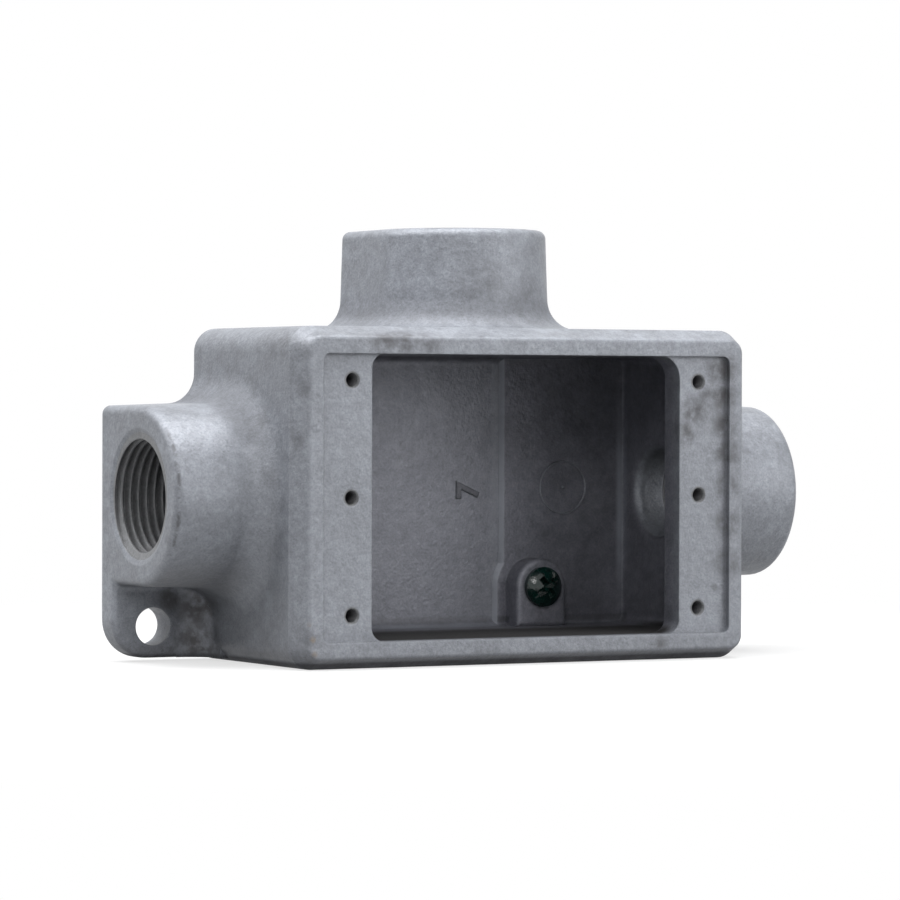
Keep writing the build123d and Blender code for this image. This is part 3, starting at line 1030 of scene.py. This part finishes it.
def white_world(studio):
    world = bpy.data.worlds.new("white_studio")
    world.use_nodes = True
    recipe = Recipe(world.node_tree)
    recipe.tree.nodes.clear()
    light = recipe.add("ShaderNodeBackground")
    recipe.feed(light.inputs["Strength"], studio.world_light)
    recipe.feed(light.inputs["Color"], colour((0.97, 0.985, 1.0)))
    white = recipe.add("ShaderNodeBackground")
    recipe.feed(white.inputs["Color"], colour((1.0, 1.0, 1.0)))
    surface = seen_white(recipe, light.outputs[0], white.outputs[0])
    output = recipe.add("ShaderNodeOutputWorld")
    recipe.tree.links.new(surface, output.inputs["Surface"])
    return world


def soft_lamp(name, place, size, power):
    """Hangs a rectangular lamp that points at the origin."""
    light = bpy.data.lights.new(name, "AREA")
    light.shape = "RECTANGLE"
    light.size, light.size_y = size
    light.energy = power
    lamp = bpy.data.objects.new(name, light)
    lamp.location = place
    lamp.rotation_euler = (-Vector(place)).to_track_quat("-Z", "Y").to_euler()
    bpy.context.scene.collection.objects.link(lamp)


def stand_camera(studio):
    """Stands the camera where the picture was taken from."""
    ahead = Vector((
        -math.sin(studio.camera_yaw) * math.cos(studio.camera_pitch),
        math.cos(studio.camera_yaw) * math.cos(studio.camera_pitch),
        math.sin(studio.camera_pitch)))
    right = ahead.cross(Vector((0, 0, 1))).normalized()
    up = right.cross(ahead)
    turn = studio.camera_roll
    rolled_right = right * math.cos(turn) + up * math.sin(turn)
    rolled_up = up * math.cos(turn) - right * math.sin(turn)
    view = bpy.data.cameras.new("studio_camera")
    view.sensor_fit = "HORIZONTAL"
    view.sensor_width = 36.0
    view.lens = studio.camera_lens
    view.clip_start = 0.01
    view.clip_end = 50.0
    camera = bpy.data.objects.new("studio_camera", view)
    axes = Matrix((rolled_right, rolled_up, -ahead)).transposed().to_4x4()
    camera.matrix_world = Matrix.Translation(studio.camera_place) @ axes
    bpy.context.scene.collection.objects.link(camera)
    bpy.context.scene.camera = camera


class DEVICEBOX_OT_stage(bpy.types.Operator):
    """Lay the floor, hang the lamps and stand the camera"""

    bl_idname = "devicebox.stage"
    bl_label = "Set Stage"

    def execute(self, context):
        studio = context.scene.devicebox_studio
        floor = bpy.data.meshes.new("floor")
        square = [(-FLOOR_REACH, -FLOOR_REACH), (FLOOR_REACH, -FLOOR_REACH),
                  (FLOOR_REACH, FLOOR_REACH), (-FLOOR_REACH, FLOOR_REACH)]
        floor.from_pydata([(x, y, studio.floor_height) for x, y in square], [], [(0, 1, 2, 3)])
        floor.materials.append(pale_floor(studio))
        add_piece("floor", floor)
        context.scene.world = white_world(studio)
        for name, place, size, setting in LAMPS:
            soft_lamp(name, place, size, getattr(studio, setting))
        stand_camera(studio)
        context.scene.view_settings.view_transform = "Standard"
        return {"FINISHED"}


OPERATORS = (
    DEVICEBOX_OT_casting,
    DEVICEBOX_OT_ground_screw,
    DEVICEBOX_OT_hub_threads,
    DEVICEBOX_OT_screw_threads,
    DEVICEBOX_OT_ring_mark,
    DEVICEBOX_OT_mould_number,
    DEVICEBOX_OT_stage,
)


class DEVICEBOX_PT_dressing(bpy.types.Panel):
    """Lists the steps that dress the box"""

    bl_idname = "DEVICEBOX_PT_dressing"
    bl_label = "Device Box"
    bl_space_type = "VIEW_3D"
    bl_region_type = "UI"
    bl_category = "Device Box"

    def draw(self, context):
        for step in OPERATORS:
            self.layout.operator(step.bl_idname)


SETTINGS = {
    "devicebox_casting": CastingFinish,
    "devicebox_threads": ThreadSizes,
    "devicebox_marks": CastMarks,
    "devicebox_screw": ScrewFinish,
    "devicebox_studio": Studio,
}

CLASSES = (*SETTINGS.values(), *OPERATORS, DEVICEBOX_PT_dressing)


def register():
    for kind in CLASSES:
        bpy.utils.register_class(kind)
    for name, kind in SETTINGS.items():
        setattr(bpy.types.Scene, name, PointerProperty(type=kind))


def unregister():
    for name in SETTINGS:
        delattr(bpy.types.Scene, name)
    for kind in reversed(CLASSES):
        bpy.utils.unregister_class(kind)


def clear_startup_objects():
    """Removes the cube, lamp and camera that an empty Blender file starts with."""
    for name in ("Cube", "Light", "Camera"):
        if name in bpy.data.objects:
            bpy.data.objects.remove(bpy.data.objects[name])


def main():
    clear_startup_objects()
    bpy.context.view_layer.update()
    register()
    bpy.ops.devicebox.casting()
    bpy.ops.devicebox.ground_screw()
    bpy.ops.devicebox.hub_threads()
    bpy.ops.devicebox.screw_threads()
    bpy.ops.devicebox.ring_mark()
    bpy.ops.devicebox.mould_number()
    bpy.ops.devicebox.stage()


if __name__ == "__main__":
    main()
